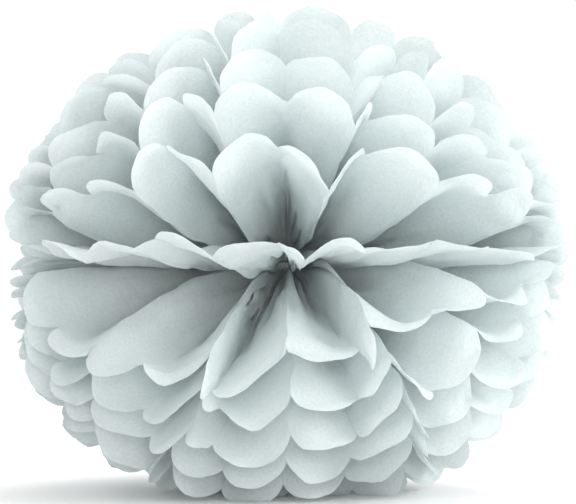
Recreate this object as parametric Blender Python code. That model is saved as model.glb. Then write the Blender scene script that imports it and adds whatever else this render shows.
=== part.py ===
"""Tissue paper pom pom.

Twelve sheets of tissue are stacked, pleated like a fan and tied round the middle with a
soft wire. Both ends of the pleated strip are trimmed round, and every sheet is then
pulled away from the next. Each half of a sheet becomes a half disc of petals that stands
on the left-to-right axis through the tie, like a page of an opened book.

Units are metres and degrees. +Z is up, the strip stood along Z before it was opened, and
-Y is the pole where the first sheet opens. The origin is on the ground under the tie.
"""

import math

import bmesh
import bpy
from mathutils import Vector

# The cut sheet: fourteen pleats across its width, tied half way along its length, with the
# end of every pleat trimmed to an arc.
PLEATS = 14
SHEET_WIDTH = 0.420
SHEET_LENGTH = 0.250
TRIM_RADIUS = 0.0165
PAPER = 0.0005
PLEAT = SHEET_WIDTH / PLEATS
REACH = SHEET_LENGTH / 2
NOTCH = REACH - TRIM_RADIUS + math.sqrt(TRIM_RADIUS**2 - (PLEAT / 2) ** 2)

# How far round each half sheet is pulled. 0 points to -Y, 90 up, 180 to +Y, and -90 down.
UPPER_LEANS = (1, 19, 33, 47, 62, 78, 94, 110, 127, 144, 161, 178)
LOWER_LEANS = (-24, -34, -45, -57, -70, -83, -97, -111, -126, -142, -158, -174)
SHEETS = len(UPPER_LEANS)

# The first lower halves hang lower on the left than on the right.
SWAY = 12.0
SWAYING_SHEETS = 4

# A half sheet spreads over nearly a half turn. Its pleats are tighter near the two ends.
FAN_MARGIN = 7.0
TIGHTENING = 0.3
CURL = 4.0

# A pleat keeps its width, so the fan zigzags deeply where it is narrow. The slope of the
# zigzag is the most it may turn from the lean. All sheets zigzag in step, so they nest.
ZIGZAG_SLOPE = 0.26

# The waist, where the stacked sheets pass through the tie one behind the other.
STACK_PITCH = 0.0009
BUNDLE_RADIUS = 0.0062
BEND_FIRST = 0.0030

# The opened ball settles under its own weight and is a little flatter than it is wide.
TIE_HEIGHT = 0.108
DEPTH_SHARE = 0.94
HEIGHT_SHARE = 0.90

# Rows of points along each fold, and steps round each petal's end.
FOLD_ROWS = (0.0, 0.22, 0.60, 1.0)
ARC_STEPS = 6

# The tie: a ring round the waist, with its two ends twisted together along +X, where the
# halves of the sheets leave a gap.
WIRE = 0.0010
WIRE_GAP = 0.0003
RING_OPENING = 18.0
RING_STEPS = 22
TAIL_LENGTH = 0.020
TAIL_TURNS = 4
TAIL_STEPS = 24


def clear_scene():
    for item in list(bpy.data.objects):
        bpy.data.objects.remove(item, do_unlink=True)


def material(name, colour, roughness, metallic=0.0):
    made = bpy.data.materials.new(name)
    made.use_nodes = True
    shader = made.node_tree.nodes["Principled BSDF"]
    shader.inputs["Base Color"].default_value = (*colour, 1.0)
    shader.inputs["Roughness"].default_value = roughness
    shader.inputs["Metallic"].default_value = metallic
    return made


def add_object(name, data, finish):
    data.materials.append(finish)
    made = bpy.data.objects.new(name, data)
    bpy.context.scene.collection.objects.link(made)
    return made


def fan_angle(fold):
    """Where a fold points in its half disc, in radians from the left end of the axis."""
    share = fold / PLEATS
    share -= TIGHTENING * math.sin(2 * math.pi * share) / (2 * math.pi)
    return math.radians(FAN_MARGIN + (180 - 2 * FAN_MARGIN) * share)


def lean(sheet, upper, fan):
    """How far round the left-to-right axis a fold is pulled before it curls, in radians."""
    if upper:
        return math.radians(UPPER_LEANS[sheet])
    sway = SWAY * max(0, 1 - sheet / SWAYING_SHEETS) * math.cos(fan)
    return math.radians(LOWER_LEANS[sheet] - sway)


def zigzag(fold, fan, along):
    """How far a fold stands to one side of its sheet's lean, in radians."""
    chord = along * math.radians(180 - 2 * FAN_MARGIN) / PLEATS
    depth = math.sqrt(max(PLEAT**2 - chord**2, 0))
    most = ZIGZAG_SLOPE * along * math.sin(fan)
    turn = math.atan2(min(depth / 2, most), along * math.sin(fan)) if along else 0
    return turn if fold % 2 else -turn


def waist_point(sheet, upper, fold):
    """Where a fold leaves the tied bundle. The outer sheets turn away first."""
    y = (sheet - (SHEETS - 1) / 2) * STACK_PITCH
    half_width = math.sqrt(BUNDLE_RADIUS**2 - y**2)
    x = half_width * (2 * fold / PLEATS - 1)
    sheets_outside = min(sheet, SHEETS - 1 - sheet)
    z = BEND_FIRST + sheets_outside * STACK_PITCH
    return Vector((x, y, z if upper else -z))


def fold_point(sheet, upper, fold, along):
    """A point on a fold line, at a distance along it from the waist."""
    fan = fan_angle(fold)
    leaning = lean(sheet, upper, fan)
    curl = math.radians(CURL) * math.cos(leaning) * (along / REACH) ** 2
    turn = leaning + zigzag(fold, fan, along) + (curl if upper else -curl)
    outward = Vector(
        (
            -math.cos(fan),
            -math.sin(fan) * math.cos(turn),
            math.sin(fan) * math.sin(turn),
        )
    )
    return waist_point(sheet, upper, fold) + along * outward


def petal_arc(sheet, upper, pleat):
    """Points round the trimmed end of one pleat, between its first fold and its second."""
    points = []
    half_arc = math.asin(PLEAT / 2 / TRIM_RADIUS)
    for step in range(1, ARC_STEPS):
        turn = half_arc * (2 * step / ARC_STEPS - 1)
        across = 0.5 + TRIM_RADIUS * math.sin(turn) / PLEAT
        along = REACH - TRIM_RADIUS * (1 - math.cos(turn))
        first = fold_point(sheet, upper, pleat, along)
        second = fold_point(sheet, upper, pleat + 1, along)
        points.append(first.lerp(second, across))
    return points


def settled(point, sheet):
    """The point in the settled ball. What would reach below the ground bends and lies on it."""
    y = DEPTH_SHARE * point.y
    z = TIE_HEIGHT + HEIGHT_SHARE * point.z
    below = PAPER / 2 - z
    if below > 0:
        y += below if sheet >= SHEETS / 2 else -below
        z = PAPER / 2
    return Vector((point.x, y, z))


def half_sheet(mesh, sheet, upper):
    """Adds one half of a sheet, and returns its row of vertices at the waist."""

    def vertex(point):
        return mesh.verts.new(settled(point, sheet))

    rows = []
    for share in FOLD_ROWS:
        points = [fold_point(sheet, upper, fold, share * NOTCH) for fold in range(PLEATS + 1)]
        rows.append([vertex(point) for point in points])
    outlines = []
    for pleat in range(PLEATS):
        for inner, outer in zip(rows, rows[1:]):
            outlines.append([inner[pleat], inner[pleat + 1], outer[pleat + 1], outer[pleat]])
        arc = [vertex(point) for point in petal_arc(sheet, upper, pleat)]
        outlines.append([rows[-1][pleat + 1], *reversed(arc), rows[-1][pleat]])
    for outline in outlines:
        mesh.faces.new(outline if upper else reversed(outline))
    return rows[0]


def thicken(mesh):
    """Turns the sheet into a closed solid of the paper's thickness, half of it on each side."""
    mesh.normal_update()
    middle = list(mesh.verts)
    faces = list(mesh.faces)
    rim = [edge.link_loops[0] for edge in mesh.edges if edge.is_boundary]
    rim_pairs = [(loop.vert, loop.link_loop_next.vert) for loop in rim]
    front = {}
    back = {}
    for vertex in middle:
        half = vertex.normal * PAPER / 2
        if abs(vertex.co.z - PAPER / 2) < PAPER / 100:
            half = Vector((0, 0, math.copysign(PAPER / 2, vertex.normal.z)))
        front[vertex] = mesh.verts.new(vertex.co + half)
        back[vertex] = mesh.verts.new(vertex.co - half)
    for face in faces:
        mesh.faces.new([front[vertex] for vertex in face.verts])
        mesh.faces.new([back[vertex] for vertex in reversed(face.verts)])
    for start, end in rim_pairs:
        mesh.faces.new([front[end], front[start], back[start], back[end]])
    bmesh.ops.delete(mesh, geom=middle, context="VERTS")


def make_sheet(sheet, finish):
    mesh = bmesh.new()
    upper = half_sheet(mesh, sheet, True)
    lower = half_sheet(mesh, sheet, False)
    for pleat in range(PLEATS):
        mesh.faces.new([lower[pleat], lower[pleat + 1], upper[pleat + 1], upper[pleat]])
    bmesh.ops.triangulate(mesh, faces=list(mesh.faces))
    bmesh.ops.recalc_face_normals(mesh, faces=list(mesh.faces))
    thicken(mesh)
    data = bpy.data.meshes.new(f"tissue_sheet_{sheet + 1:02d}")
    mesh.to_mesh(data)
    mesh.free()
    return add_object(data.name, data, finish)


def wire_route():
    """The wire's centre line: in along one strand of the twist, round the waist, and out."""
    radius = BUNDLE_RADIUS + WIRE_GAP + WIRE / 2
    apart = (WIRE + WIRE_GAP) / 2
    twist_start = radius + 2 * WIRE
    strand = []
    for step in range(TAIL_STEPS + 1):
        share = step / TAIL_STEPS
        turn = 2 * math.pi * TAIL_TURNS * share
        x = twist_start + TAIL_LENGTH * share
        strand.append(Vector((x, apart * math.cos(turn), apart * math.sin(turn))))
    opening = math.radians(RING_OPENING)
    ring = []
    for step in range(RING_STEPS + 1):
        turn = opening + 2 * (math.pi - opening) * step / RING_STEPS
        ring.append(Vector((radius * math.cos(turn), radius * math.sin(turn), 0)))
    other_strand = [Vector((point.x, -point.y, -point.z)) for point in strand]
    return strand[::-1] + ring + other_strand


def make_wire(finish):
    curve = bpy.data.curves.new("tie_wire", "CURVE")
    curve.dimensions = "3D"
    curve.bevel_depth = WIRE / 2
    curve.bevel_resolution = 1
    curve.use_fill_caps = True
    spline = curve.splines.new("POLY")
    route = wire_route()
    spline.points.add(len(route) - 1)
    for point, place in zip(spline.points, route):
        point.co = (place.x, place.y, place.z + TIE_HEIGHT, 1.0)
    return add_object("tie_wire", curve, finish)


def main():
    clear_scene()
    tissue = material("grey_tissue", (0.62, 0.68, 0.68), 0.85)
    steel = material("soft_steel_wire", (0.45, 0.46, 0.47), 0.4, metallic=1.0)
    for sheet in range(SHEETS):
        make_sheet(sheet, tissue)
    make_wire(steel)


main()
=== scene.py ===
# %% [markdown]
# # A tissue paper pom pom
#
# The real ball is twelve thin sheets of tissue, pleated together like a fan and tied with wire
# round the middle. Both ends of the folded strip are cut round. The sheets are then pulled away
# from each other one at a time, so that each half of a sheet stands as a half disc of petals,
# like one page of a book that is opened all the way round.
#
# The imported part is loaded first. It fixes the size, the tie and the place of every sheet.

# %% Load the frame
import math

import bpy
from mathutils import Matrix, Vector


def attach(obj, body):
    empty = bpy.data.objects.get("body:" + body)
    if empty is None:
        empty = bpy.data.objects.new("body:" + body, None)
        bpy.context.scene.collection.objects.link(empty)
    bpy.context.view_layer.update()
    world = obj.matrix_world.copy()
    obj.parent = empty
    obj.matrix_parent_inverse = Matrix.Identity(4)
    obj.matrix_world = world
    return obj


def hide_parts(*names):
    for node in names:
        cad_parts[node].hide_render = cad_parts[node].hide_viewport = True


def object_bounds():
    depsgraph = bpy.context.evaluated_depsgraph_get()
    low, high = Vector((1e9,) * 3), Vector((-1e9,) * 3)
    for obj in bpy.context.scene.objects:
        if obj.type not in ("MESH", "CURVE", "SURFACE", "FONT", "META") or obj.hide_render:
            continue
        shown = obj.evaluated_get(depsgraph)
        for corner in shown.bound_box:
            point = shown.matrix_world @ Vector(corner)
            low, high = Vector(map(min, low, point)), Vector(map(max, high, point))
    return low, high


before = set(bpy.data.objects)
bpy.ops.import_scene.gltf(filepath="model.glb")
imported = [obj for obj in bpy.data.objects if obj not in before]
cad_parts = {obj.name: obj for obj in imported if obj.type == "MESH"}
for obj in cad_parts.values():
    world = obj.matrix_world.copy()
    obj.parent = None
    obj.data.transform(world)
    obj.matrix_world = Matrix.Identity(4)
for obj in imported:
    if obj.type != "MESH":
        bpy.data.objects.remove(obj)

CAD_LOW, CAD_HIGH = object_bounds()
BODY = "root"
print("ball, in mm:", [round(1000 * (high - low)) for low, high in zip(CAD_LOW, CAD_HIGH)])

# %% [markdown]
# ## The camera and the studio
#
# A long lens a metre away keeps the petals' proportions, as a catalogue picture does. The camera
# is level with the tie and looks straight at the pole where the first sheet opens.

# %% Camera
CAMERA_DISTANCE = 1.15
FRAME_WIDTH = 0.2700
middle = (CAD_LOW + CAD_HIGH) / 2
lens = bpy.data.cameras.new("studio_camera")
lens.sensor_width = 36.0
lens.lens = lens.sensor_width * CAMERA_DISTANCE / FRAME_WIDTH
camera = bpy.data.objects.new("studio_camera", lens)
bpy.context.scene.collection.objects.link(camera)
camera.location = (middle.x, middle.y - CAMERA_DISTANCE, middle.z)
camera.rotation_euler = (math.radians(90), 0, 0)
bpy.context.scene.camera = camera
print("lens, in mm:", round(lens.lens))


# %% Colour and node helpers
def linear(hex_colour):
    """The linear colour of an sRGB hex value."""
    channels = [int(hex_colour[place : place + 2], 16) / 255 for place in (1, 3, 5)]
    return tuple(c / 12.92 if c <= 0.04045 else ((c + 0.055) / 1.055) ** 2.4 for c in channels)


def add(tree, kind, *inputs, **settings):
    """Adds a node, gives it its settings and links it. An input is a value, a socket or a node.

    Inputs are given in the node's own order, or by name in a dictionary.
    """
    node = tree.nodes.new(kind)
    for name, value in settings.items():
        setattr(node, name, value)
    wanted = {}
    for place, value in enumerate(inputs):
        wanted.update(value if isinstance(value, dict) else {place: value})
    for name, value in wanted.items():
        if isinstance(value, bpy.types.Node):
            value = value.outputs[0]
        if isinstance(value, bpy.types.NodeSocket):
            tree.links.new(value, node.inputs[name])
        else:
            node.inputs[name].default_value = value
    return node


# %% Studio: floor, soft lights and pale surroundings
WHITE = (1.0, 1.0, 1.0, 1.0)
world = bpy.data.worlds.new("pale_studio")
world.use_nodes = True
world.node_tree.nodes["Background"].inputs["Color"].default_value = WHITE
world.node_tree.nodes["Background"].inputs["Strength"].default_value = 1.05
bpy.context.scene.world = world
bpy.context.scene.view_settings.view_transform = "Standard"

floor_paint = bpy.data.materials.new("white_floor")
floor_paint.use_nodes = True
floor_paint.node_tree.nodes["Principled BSDF"].inputs["Base Color"].default_value = (0.97, 0.97, 0.97, 1)
floor_paint.node_tree.nodes["Principled BSDF"].inputs["Roughness"].default_value = 0.9
bpy.ops.mesh.primitive_plane_add(size=30, location=(0, 0, 0))
floor = bpy.context.object
floor.name = "floor"
floor.data.materials.append(floor_paint)


def softbox(name, place, size, power):
    """A square soft light, aimed at the middle of the ball."""
    light = bpy.data.lights.new(name, "AREA")
    light.size = size
    light.energy = power
    made = bpy.data.objects.new(name, light)
    bpy.context.scene.collection.objects.link(made)
    made.location = place
    made.rotation_euler = (Vector(place) - middle).to_track_quat("Z", "Y").to_euler()
    return made


softbox("right_softbox", (1.3, -0.7, 0.7), 0.7, 16)
softbox("top_softbox", (0.3, 0.5, 1.5), 0.9, 10)
softbox("front_fill", (0.1, -1.4, 0.25), 0.5, 5)

# %% [markdown]
# ## Tissue paper
#
# Tissue is a sheet of wood fibres a few hundredths of a millimetre thick. Light that falls on it
# is scattered back by the face, and some of it comes out on the far side, so petals glow at the
# rim and the shadows between them stay soft. A matt face mixed with a translucent one gives
# both, and a painted highlight along each cut edge adds to the glow at the rim. The pattern is
# laid out in millimetres on the flat sheet, so it follows every fold.

# %% Tissue paper material
SHEET_WIDTH = 0.420
SHEET_LENGTH = 0.250
MM = 1000.0


def tissue_paper():
    """Grey tissue: matt, cloudy from the fibres, lightly crinkled, with a painted highlight along the cut edge.
    """
    paper = bpy.data.materials.new("grey_tissue_paper")
    paper.use_nodes = True
    tree = paper.node_tree
    tree.nodes.clear()
    flat = add(tree, "ShaderNodeUVMap", uv_map="cut_sheet")
    in_mm = add(
        tree, "ShaderNodeVectorMath", flat, (SHEET_WIDTH * MM, SHEET_LENGTH * MM, 1),
        operation="MULTIPLY",
    )
    fibres = add(tree, "ShaderNodeTexNoise", {"Vector": in_mm, "Scale": 0.7, "Detail": 3.0})
    crinkle = add(tree, "ShaderNodeTexNoise", {"Vector": in_mm, "Scale": 0.16, "Detail": 4.0})
    tint = add(tree, "ShaderNodeValToRGB", fibres)
    tint.color_ramp.elements[0].color = (*linear("#D3DBDB"), 1)
    tint.color_ramp.elements[0].position = 0.3
    tint.color_ramp.elements[1].color = (*linear("#DEE5E5"), 1)
    tint.color_ramp.elements[1].position = 0.7
    bump = add(tree, "ShaderNodeBump", {"Height": crinkle, "Strength": 0.6, "Distance": 0.0010})
    # painted highlight: within 0.9 mm of the cut edge the paper is mixed up to 70% towards near white, standing
    # in for the bright rims that light gives thin petal edges
    from_cut = add(tree, "ShaderNodeAttribute", attribute_name="from_cut").outputs["Fac"]
    painted_rim_highlight = add(
        tree, "ShaderNodeMapRange",
        {"Value": from_cut, "From Min": 0.0, "From Max": 0.0009, "To Min": 0.7, "To Max": 0.0},
    )
    tint = add(tree, "ShaderNodeMix", {0: painted_rim_highlight, 6: tint, 7: (*linear("#F4F8F7"), 1)}, data_type="RGBA").outputs[
        2
    ]
    face = add(
        tree, "ShaderNodeBsdfPrincipled",
        {"Base Color": tint, "Roughness": 0.75, "IOR": 1.45, "Normal": bump},
    )
    through = add(tree, "ShaderNodeBsdfTranslucent", {"Color": tint, "Normal": bump})
    both = add(tree, "ShaderNodeMixShader", 0.42, face, through)
    add(tree, "ShaderNodeOutputMaterial", {"Surface": both})
    return paper


tissue = tissue_paper()

# %% [markdown]
# ## The folded stack
#
# The ball starts as a flat stack of sheets, folded to and fro like a paper fan. It is tied across
# the middle, so every sheet has two halves, and the two ends of the folded strip are cut round.
# That cut is what gives each pleat its petal. These are the sizes of the stack, and the lean of
# each half sheet once it is pulled open: 0 degrees points at the camera and 90 straight up.

# %% Sizes of the folded stack
PLEATS = 14
PLEAT = SHEET_WIDTH / PLEATS
REACH = SHEET_LENGTH / 2
TRIM_RADIUS = 0.0160
UPPER_LEANS = (1, 19, 33, 47, 62, 78, 94, 110, 127, 144, 161, 178)
LOWER_LEANS = (-24, -34, -45, -57, -70, -83, -97, -111, -126, -142, -158, -174)
SHEETS = len(UPPER_LEANS)
SWAY = 12.0
SWAYING_SHEETS = 4
STACK_PITCH = 0.0009
BUNDLE_RADIUS = 0.0062
BEND_FIRST = 0.0030
TIE_HEIGHT = 0.108
SETTLED = (1.0, 0.94, 0.90)
print("pleat, in mm:", round(1000 * PLEAT, 1), "and petal, in mm:", round(1000 * REACH))

# %% [markdown]
# ## Where a fold points
#
# The folds of a half sheet spread like the sticks of a fan. Most pleats open fully, but in a real
# ball a few stick shut, and those show as narrow spikes between the round petals. So the fan
# gives every pleat the same angle, apart from two shut ones and the half shut pair at its ends.

# %% Node group: where a fold points
MATH = "ShaderNodeMath"
VECTOR = "ShaderNodeVectorMath"
GROUP = "GeometryNodeGroup"
NUMBER = "NodeSocketFloat"
SHUT = 0.8
END_SHUT = 0.5
OPEN_PLEATS = PLEATS - 2 * SHUT - 2 * END_SHUT


def new_tree(name, numbers, outputs):
    """A node tree with named number inputs. Returns it and the sockets of its inputs."""
    tree = bpy.data.node_groups.new(name, "GeometryNodeTree")
    for output, kind in outputs.items():
        tree.interface.new_socket(output, in_out="OUTPUT", socket_type=kind)
    for number in numbers:
        tree.interface.new_socket(number, in_out="INPUT", socket_type=NUMBER)
    return tree, add(tree, "NodeGroupInput").outputs


def fan_direction():
    tree, given = new_tree(
        "fan_direction", ("Fold", "First shut", "Second shut", "Margin"), {"Fan": NUMBER},
    )
    pleats_open = given["Fold"]
    for pleat, lost in (
        (given["First shut"], SHUT), (given["Second shut"], SHUT), (0, END_SHUT), (PLEATS - 1, END_SHUT),
    ):
        passed = add(tree, MATH, given["Fold"], pleat, operation="SUBTRACT", use_clamp=True)
        pleats_open = add(tree, MATH, passed, -lost, pleats_open, operation="MULTIPLY_ADD")
    margin = add(tree, MATH, given["Margin"], operation="RADIANS")
    span = add(tree, MATH, margin, -2, math.pi, operation="MULTIPLY_ADD")
    share = add(tree, MATH, pleats_open, 1 / OPEN_PLEATS, operation="MULTIPLY")
    fan = add(tree, MATH, share, span, margin, operation="MULTIPLY_ADD")
    add(tree, "NodeGroupOutput", fan)
    return tree


FAN_DIRECTION = fan_direction()

# %% [markdown]
# ## One fold line
#
# A pleat can't change its width. Where the fan is too narrow for it, near the tie, it has to stand
# up in a zigzag, and where the fan is wide it lies almost flat. Each fold line works that depth out
# from the two pleats beside it. All sheets zigzag alike, so they nest and don't cut each other.

# %% Node group: one fold line
STEEPEST = 0.26
END_STEEPEST = 0.60
FAN_CHANCE = math.radians(2.0)


def signed_chance(tree, *key):
    """Three random numbers from -1 to 1 that stay the same for the same key."""
    place = add(tree, "ShaderNodeCombineXYZ", *key)
    colour = add(tree, "ShaderNodeTexWhiteNoise", {"Vector": place}).outputs["Color"]
    spread = add(tree, VECTOR, colour, (2, 2, 2), (-1, -1, -1), operation="MULTIPLY_ADD")
    return add(tree, "ShaderNodeSeparateXYZ", spread).outputs


def fold_line():
    inputs = ("Fold", "Along", "First shut", "Second shut", "Margin", "Half key", "Own key")
    outputs = {name: NUMBER for name in ("Fan", "Zigzag", "Lean", "Reach", "Roll")}
    tree, given = new_tree("fold_line", inputs, outputs)
    fold, along = given["Fold"], given["Along"]

    fans = []
    for step in (-1, 0, 1):
        neighbour = add(tree, MATH, fold, step, operation="ADD")
        wanted = {name: given[name] for name in ("First shut", "Second shut", "Margin")}
        fans.append(add(tree, GROUP, {"Fold": neighbour, **wanted}, node_tree=FAN_DIRECTION))

    # a pleat keeps its width: what the open fan doesn't take up goes into the depth of the zigzag
    depths = []
    for here, there in zip(fans, fans[1:]):
        gap = add(tree, MATH, there, here, operation="SUBTRACT")
        chord = add(tree, MATH, gap, along, operation="MULTIPLY")
        chord_squared = add(tree, MATH, chord, chord, operation="MULTIPLY")
        spare = add(tree, MATH, PLEAT**2, chord_squared, operation="SUBTRACT")
        spare = add(tree, MATH, spare, 0, operation="MAXIMUM")
        depths.append(add(tree, MATH, spare, operation="SQRT"))
    depth = add(tree, MATH, add(tree, MATH, *depths, operation="ADD"), 0.25, operation="MULTIPLY")

    # the depth becomes an angle about the axis of the fan, up to the steepest that fits at the tie
    sine = add(tree, MATH, add(tree, MATH, fans[1], operation="SINE"), 0.1, operation="MAXIMUM")
    lever = add(tree, MATH, add(tree, MATH, along, sine, operation="MULTIPLY"), 1e-4, operation="ADD")
    near_axis = add(tree, MATH, add(tree, MATH, 1, sine, operation="SUBTRACT"), 1.5, operation="POWER")
    steepest = add(tree, MATH, near_axis, END_STEEPEST, STEEPEST, operation="MULTIPLY_ADD")
    slope = add(
        tree, MATH, add(tree, MATH, depth, lever, operation="DIVIDE"), steepest, operation="MINIMUM",
    )

    # chance: most of it is shared by the stack, which was folded as one, and a little is the sheet's own
    shared = signed_chance(tree, fold, given["Half key"], 0.5)
    own = signed_chance(tree, fold, given["Own key"], 1.5)
    more = signed_chance(tree, fold, given["Own key"], 3.5)
    chance = add(tree, MATH, own["X"], 0.5, shared["X"], operation="MULTIPLY_ADD")
    chance = add(tree, MATH, chance, sine, operation="MULTIPLY")
    fan = add(tree, MATH, chance, FAN_CHANCE, fans[1], operation="MULTIPLY_ADD")
    way = add(tree, MATH, fold, 2, operation="FLOORED_MODULO")
    side = add(tree, MATH, way, 2, -1, operation="MULTIPLY_ADD")
    habit = add(tree, MATH, shared["Y"], 0.25, 1.0, operation="MULTIPLY_ADD")
    zigzag = add(tree, MATH, add(tree, MATH, slope, operation="ARCTANGENT"), side, operation="MULTIPLY")
    zigzag = add(tree, MATH, zigzag, habit, operation="MULTIPLY")
    add(tree, "NodeGroupOutput", fan, zigzag, own["Y"], own["Z"], more["X"])
    return tree


FOLD_LINE = fold_line()


# %% [markdown]
# ## The whole sheet
#
# Geometry Nodes suit this piece because every petal follows the same rule. A flat grid is moved
# point by point: along its fold, round the fan, then about the axis that the sheet leans on. Cups,
# rolled tips, crushed paper near the tie and soft dents are added on top. A sheet could also be
# simulated, but twelve folded sheets that touch are slow to simulate and come out tangled.

# %% Node group: the whole sheet
ACROSS = 14
ALONG = 48
PUSH = 0.010
CURL = 4.0


def pleated_sheet():
    numbers = ("Lean up", "Lean down", "Sway", "Layer", "Seed", "Bend way", "Lean wobble", "Zigzag up")
    numbers += ("Upper first shut", "Upper second shut", "Upper margin")
    numbers += ("Lower first shut", "Lower second shut", "Lower margin")
    tree, given = new_tree("pleated_sheet", numbers, {"Sheet": "NodeSocketGeometry"})
    layer, seed = given["Layer"], given["Seed"]

    # where a point lies on the flat sheet, closer together near the folds
    grid = add(tree, "GeometryNodeMeshGrid", 1, 1, PLEATS * ACROSS + 1, 2 * ALONG + 1)
    spot = add(tree, "ShaderNodeSeparateXYZ", add(tree, "GeometryNodeInputPosition")).outputs
    column = add(tree, MATH, spot["X"], PLEATS, PLEATS / 2, operation="MULTIPLY_ADD")
    upward = add(tree, MATH, spot["Y"], 2, operation="MULTIPLY")
    rise = add(tree, MATH, upward, operation="ABSOLUTE")
    away = add(tree, MATH, upward, operation="SIGN")
    upper = add(tree, MATH, upward, 0, operation="GREATER_THAN")
    inside = add(tree, MATH, column, PLEATS - 0.001, operation="MINIMUM")
    first = add(tree, MATH, add(tree, MATH, inside, 0.001, operation="ADD"), operation="FLOOR")
    second = add(tree, MATH, first, 1, operation="ADD")
    step = add(
        tree, MATH, add(tree, MATH, column, first, operation="SUBTRACT"), math.pi, operation="MULTIPLY",
    )
    part = add(tree, MATH, add(tree, MATH, step, operation="COSINE"), -0.5, 0.5, operation="MULTIPLY_ADD")
    swell = add(tree, MATH, add(tree, MATH, part, math.pi, operation="MULTIPLY"), operation="SINE")
    strip = add(tree, MATH, first, part, operation="ADD")
    even = add(tree, MATH, strip, 1 / PLEATS, operation="MULTIPLY")
    height = add(tree, MATH, spot["Y"], 0.5, operation="ADD")
    uv = add(tree, "ShaderNodeCombineXYZ", even, height, 0)
    half_key = add(tree, MATH, away, 7.3, seed, operation="MULTIPLY_ADD")
    own_key = add(tree, MATH, layer, 3.7, half_key, operation="MULTIPLY_ADD")

    # the round cut: how long the paper is here
    off_middle = add(tree, MATH, part, PLEAT, -PLEAT / 2, operation="MULTIPLY_ADD")
    off_squared = add(tree, MATH, off_middle, off_middle, operation="MULTIPLY")
    sag = add(
        tree, MATH, add(tree, MATH, TRIM_RADIUS**2, off_squared, operation="SUBTRACT"), operation="SQRT",
    )
    length = add(tree, MATH, sag, REACH - TRIM_RADIUS, operation="ADD")
    along = add(tree, MATH, rise, length, operation="MULTIPLY")

    # the two folds beside the point, mixed: straight across near the tie, rounded at the rim
    shut = {}
    for name in ("First shut", "Second shut", "Margin"):
        low, high = given["Lower " + name.lower()], given["Upper " + name.lower()]
        shut[name] = add(tree, "ShaderNodeMix", {0: upper, 2: low, 3: high})
    folds = []
    for fold in (first, second):
        wanted = {"Fold": fold, "Along": along, "Half key": half_key, "Own key": own_key, **shut}
        folds.append(add(tree, GROUP, wanted, node_tree=FOLD_LINE).outputs)
    soft = add(tree, "ShaderNodeMapRange", {"Value": part}, interpolation_type="SMOOTHSTEP")
    softness = add(tree, MATH, rise, 0.55, operation="MULTIPLY")
    rounded = add(tree, "ShaderNodeMix", {0: softness, 2: part, 3: soft})
    fan = add(tree, "ShaderNodeMix", {0: part, 2: folds[0]["Fan"], 3: folds[1]["Fan"]})
    mixed = {}
    for name in ("Zigzag", "Lean", "Reach", "Roll"):
        mixed[name] = add(tree, "ShaderNodeMix", {0: rounded, 2: folds[0][name], 3: folds[1][name]})
    stretch = add(tree, MATH, mixed["Reach"], 0.025, 1.0, operation="MULTIPLY_ADD")
    along = add(tree, MATH, along, stretch, operation="MULTIPLY")
    share = add(tree, MATH, along, 1 / REACH, operation="MULTIPLY")
    share_squared = add(tree, MATH, share, share, operation="MULTIPLY")

    # lean
    swayed = add(tree, MATH, add(tree, MATH, fan, operation="COSINE"), given["Sway"], operation="MULTIPLY")
    lower_lean = add(tree, MATH, given["Lean down"], swayed, operation="SUBTRACT")
    lean = add(tree, "ShaderNodeMix", {0: upper, 2: lower_lean, 3: given["Lean up"]})
    leaning = add(tree, MATH, lean, operation="RADIANS")
    curl = add(tree, MATH, add(tree, MATH, leaning, operation="COSINE"), away, operation="MULTIPLY")
    wave_place = add(
        tree, "ShaderNodeCombineXYZ", add(tree, MATH, strip, 0.42, operation="MULTIPLY"),
        add(tree, MATH, layer, 0.3, operation="MULTIPLY"), half_key,
    )
    wave = add(tree, "ShaderNodeTexNoise", {"Vector": wave_place, "Scale": 1.0, "Detail": 0.0})
    wave = add(tree, MATH, wave, 2.6, -1.3, operation="MULTIPLY_ADD")
    wobble = add(tree, MATH, mixed["Lean"], 0.6, wave, operation="MULTIPLY_ADD")
    wobble = add(tree, MATH, wobble, given["Lean wobble"], operation="MULTIPLY")
    bend = add(tree, MATH, curl, CURL, wobble, operation="MULTIPLY_ADD")
    bend = add(tree, MATH, add(tree, MATH, bend, operation="RADIANS"), share_squared, operation="MULTIPLY")
    depth = add(tree, "ShaderNodeMix", {0: upper, 2: 1.0, 3: given["Zigzag up"]})
    zigzag = add(tree, MATH, mixed["Zigzag"], depth, operation="MULTIPLY")
    turn = add(tree, MATH, add(tree, MATH, leaning, bend, operation="ADD"), zigzag, operation="ADD")
    from_up = add(tree, MATH, math.pi / 2, turn, operation="SUBTRACT")

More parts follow.
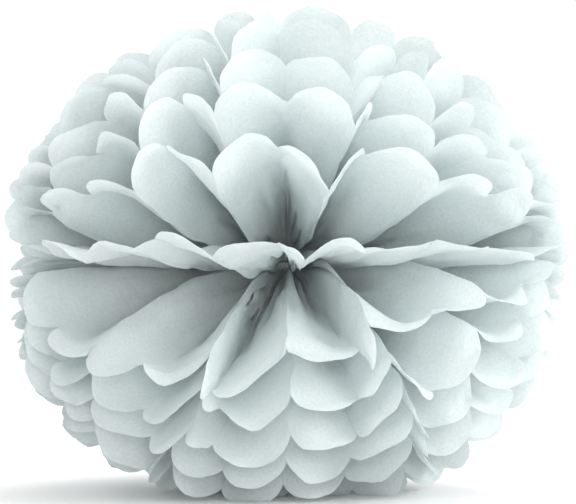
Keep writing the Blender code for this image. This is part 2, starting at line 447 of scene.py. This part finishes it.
    # where that puts the point
    base = add(tree, "ShaderNodeCombineXYZ", add(tree, MATH, along, -1, operation="MULTIPLY"), 0, 0)
    fanned = add(tree, "ShaderNodeVectorRotate", {"Vector": base, "Angle": fan}, rotation_type="Y_AXIS")
    turned = add(
        tree, "ShaderNodeVectorRotate", {"Vector": fanned, "Angle": from_up}, rotation_type="X_AXIS",
    )
    outward = add(tree, "ShaderNodeCombineXYZ", 0, away, 0)
    facing = add(
        tree, "ShaderNodeVectorRotate", {"Vector": outward, "Angle": from_up}, rotation_type="X_AXIS",
    )
    y = add(tree, MATH, layer, STACK_PITCH, -STACK_PITCH * (SHEETS - 1) / 2, operation="MULTIPLY_ADD")
    y_squared = add(tree, MATH, y, y, operation="MULTIPLY")
    half_width = add(
        tree, MATH, add(tree, MATH, BUNDLE_RADIUS**2, y_squared, operation="SUBTRACT"), operation="SQRT",
    )
    x = add(
        tree, MATH, add(tree, MATH, even, 2, -1, operation="MULTIPLY_ADD"), half_width,
        operation="MULTIPLY",
    )
    outside = add(
        tree, MATH, layer, add(tree, MATH, SHEETS - 1, layer, operation="SUBTRACT"), operation="MINIMUM",
    )
    z = add(
        tree, MATH, add(tree, MATH, outside, STACK_PITCH, BEND_FIRST, operation="MULTIPLY_ADD"), away,
        operation="MULTIPLY",
    )
    waist = add(tree, "ShaderNodeCombineXYZ", x, y, z)
    folded = add(tree, VECTOR, waist, turned, operation="ADD")

    # each petal cups and rolls, and the paper near the tie stays crushed
    chance = signed_chance(tree, first, own_key, 2.5)
    cup = add(tree, MATH, chance["X"], 0.0030, 0.0020, operation="MULTIPLY_ADD")
    cup = add(
        tree, MATH, cup, add(tree, MATH, swell, share_squared, operation="MULTIPLY"),
        operation="MULTIPLY",
    )
    tip = add(tree, "ShaderNodeMapRange", {"Value": rise, "From Min": 0.55, "From Max": 1.0})
    tip = add(tree, MATH, tip, 2, operation="POWER")
    roll = add(
        tree, MATH, add(tree, MATH, chance["Y"], swell, operation="MULTIPLY"), mixed["Roll"],
        operation="ADD",
    )
    roll = add(
        tree, MATH, add(tree, MATH, roll, tip, operation="MULTIPLY"), 0.0055, cup,
        operation="MULTIPLY_ADD",
    )
    crush_place = add(
        tree, "ShaderNodeCombineXYZ", add(tree, MATH, strip, 7.0, operation="MULTIPLY"),
        add(tree, MATH, along, 22, operation="MULTIPLY"), own_key,
    )
    crush = add(tree, "ShaderNodeTexNoise", {"Vector": crush_place, "Scale": 1.0, "Detail": 0.0})
    crush = add(tree, MATH, add(tree, MATH, crush, 0.5, operation="SUBTRACT"), 0.0165, operation="MULTIPLY")
    fade_in = add(tree, "ShaderNodeMapRange", {"Value": share, "From Min": 0.06, "From Max": 0.24})
    fade_out = add(
        tree, "ShaderNodeMapRange",
        {"Value": share, "From Min": 0.30, "From Max": 0.85, "To Min": 1.0, "To Max": 0.0},
        interpolation_type="SMOOTHSTEP",
    )
    crush = add(
        tree, MATH, crush, add(tree, MATH, fade_in, fade_out, operation="MULTIPLY"), operation="MULTIPLY",
    )
    bow = add(
        tree, VECTOR, facing, {"Scale": add(tree, MATH, roll, crush, operation="ADD")}, operation="SCALE",
    )
    bowed = add(tree, VECTOR, folded, bow, operation="ADD")

    # soft dents of this sheet's own, then one slow push that moves the whole ball out of round
    shape = bowed
    for key, scale, amount in ((own_key, 60.0, 0.0065), (seed, 9.0, PUSH)):
        noise = add(
            tree, "ShaderNodeTexNoise", {"Vector": shape, "W": key, "Scale": scale, "Detail": 1.0},
            noise_dimensions="4D",
        )
        spread = add(tree, VECTOR, noise.outputs["Color"], (0.5, 0.5, 0.5), operation="SUBTRACT")
        push = add(
            tree, VECTOR, spread, {"Scale": add(tree, MATH, share, amount, operation="MULTIPLY")},
            operation="SCALE",
        )
        shape = add(tree, VECTOR, shape, push, operation="ADD")

    # the ball settles, and what would reach below the ground bends and lies on it
    settled = add(tree, VECTOR, shape, SETTLED, (0, 0, TIE_HEIGHT), operation="MULTIPLY_ADD")
    height = add(tree, "ShaderNodeSeparateXYZ", settled).outputs["Z"]
    below = add(tree, MATH, add(tree, MATH, 0.0004, height, operation="SUBTRACT"), 0, operation="MAXIMUM")
    slide = add(tree, MATH, below, given["Bend way"], operation="MULTIPLY")
    lifted = add(tree, VECTOR, settled, add(tree, "ShaderNodeCombineXYZ", 0, slide, below), operation="ADD")

    # build the mesh, with its place on the flat sheet as its UV map
    named = add(
        tree, "GeometryNodeStoreNamedAttribute", {"Geometry": grid, "Name": "cut_sheet", "Value": uv},
        data_type="FLOAT2", domain="CORNER",
    )
    placed = add(tree, "GeometryNodeSetPosition", {"Geometry": named, "Position": lifted})
    from_cut = add(tree, MATH, add(tree, MATH, 1, rise, operation="SUBTRACT"), length, operation="MULTIPLY")
    placed = add(
        tree, "GeometryNodeStoreNamedAttribute",
        {"Geometry": placed, "Name": "from_cut", "Value": from_cut}, data_type="FLOAT", domain="POINT",
    )
    smooth = add(tree, "GeometryNodeSetShadeSmooth", {"Geometry": placed})
    whole = add(tree, "GeometryNodeRealizeInstances", {"Geometry": smooth})
    finished = add(tree, "GeometryNodeSetMaterial", {"Geometry": whole, "Material": tissue})
    add(tree, "NodeGroupOutput", finished)
    return tree


PLEATED_SHEET = pleated_sheet()


# %% [markdown]
# ## Making the twelve sheets
#
# One blank object per sheet gets the node tree, with its own leans, chances and shut pleats. The
# result is turned into a plain mesh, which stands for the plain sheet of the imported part.

# %% Make the sheets
FRONT_WOBBLE = (2.0, 5.0, 6.0)
WOBBLE = 9.0
RUFFLE_DIP = 4
RUFFLE_ZIGZAG = 0.35
CHANCE_SEED = 11
UPPER_SHUT = ((4.0, 0.30), (7.0, 0.45))
LOWER_SHUT = ((5.0, -0.30), (8.0, 0.35))


def set_input(modifier, name, value):
    """Sets a modifier's input by the identifier of its socket."""
    for item in modifier.node_group.interface.items_tree:
        if item.name == name and item.in_out == "INPUT":
            modifier[item.identifier] = value


def make_sheet(layer):
    """One whole sheet, both halves, as a plain mesh that rides on the body."""
    node = f"tissue_sheet_{layer + 1:02d}"
    blank = bpy.data.objects.new("blank", bpy.data.meshes.new("blank"))
    bpy.context.scene.collection.objects.link(blank)
    folding = blank.modifiers.new("folding", "NODES")
    folding.node_group = PLEATED_SHEET
    settings = {
        "Lean up": UPPER_LEANS[layer] - (RUFFLE_DIP if layer == 0 else 0),
        "Lean down": LOWER_LEANS[layer] + (5 if layer == 0 else 2),
        "Sway": SWAY * max(0.0, 1 - layer / SWAYING_SHEETS),
        "Layer": layer,
        "Seed": CHANCE_SEED,
        "Bend way": 1.0 if layer >= SHEETS / 2 else -1.0,
        "Lean wobble": FRONT_WOBBLE[layer] if layer < len(FRONT_WOBBLE) else WOBBLE,
        "Zigzag up": RUFFLE_ZIGZAG if layer == 0 else 1.0,
    }
    for half, shut, lean in (
        ("Upper", UPPER_SHUT, UPPER_LEANS[layer]), ("Lower", LOWER_SHUT, LOWER_LEANS[layer]),
    ):
        settings[f"{half} margin"] = 3.0 + 12.0 * math.sin(math.radians(lean)) ** 2
        for count, (pleat, drift) in zip(("first", "second"), shut):
            settings[f"{half} {count} shut"] = pleat + drift * layer
    for name, value in settings.items():
        set_input(folding, name, float(value))
    depsgraph = bpy.context.evaluated_depsgraph_get()
    mesh = bpy.data.meshes.new_from_object(blank.evaluated_get(depsgraph))
    bpy.data.objects.remove(blank)
    piece = bpy.data.objects.new(f"petals_{layer + 1:02d}", mesh)
    bpy.context.scene.collection.objects.link(piece)
    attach(piece, BODY)
    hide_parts(node)


for layer in range(SHEETS):
    make_sheet(layer)

# %% [markdown]
# ## The tie
#
# The stack is held by a turn of thin soft iron wire, twisted tight. Its shape is already right in
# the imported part, so it only needs the dull grey of galvanised wire.

# %% Galvanised wire


def galvanised_wire():
    """Drawn wire with a thin coat of zinc: a dull metal with faint marks a few tenths of a mm wide."""
    wire = bpy.data.materials.new("galvanised_wire")
    wire.use_nodes = True
    tree = wire.node_tree
    tree.nodes.clear()
    place = add(tree, "ShaderNodeTexCoord").outputs["Object"]
    marks = add(tree, "ShaderNodeTexNoise", {"Vector": place, "Scale": 3 * MM, "Detail": 2.0})
    rough = add(tree, "ShaderNodeMapRange", {"Value": marks, "To Min": 0.3, "To Max": 0.5})
    colour = (*linear("#A9ABAA"), 1)
    metal = add(
        tree, "ShaderNodeBsdfPrincipled", {"Base Color": colour, "Metallic": 1.0, "Roughness": rough},
    )
    add(tree, "ShaderNodeOutputMaterial", {"Surface": metal})
    return wire


tie = bpy.data.objects["tie_wire"]
tie.data.materials.clear()
tie.data.materials.append(galvanised_wire())
print("tie, in mm:", [round(1000 * side, 1) for side in tie.dimensions])
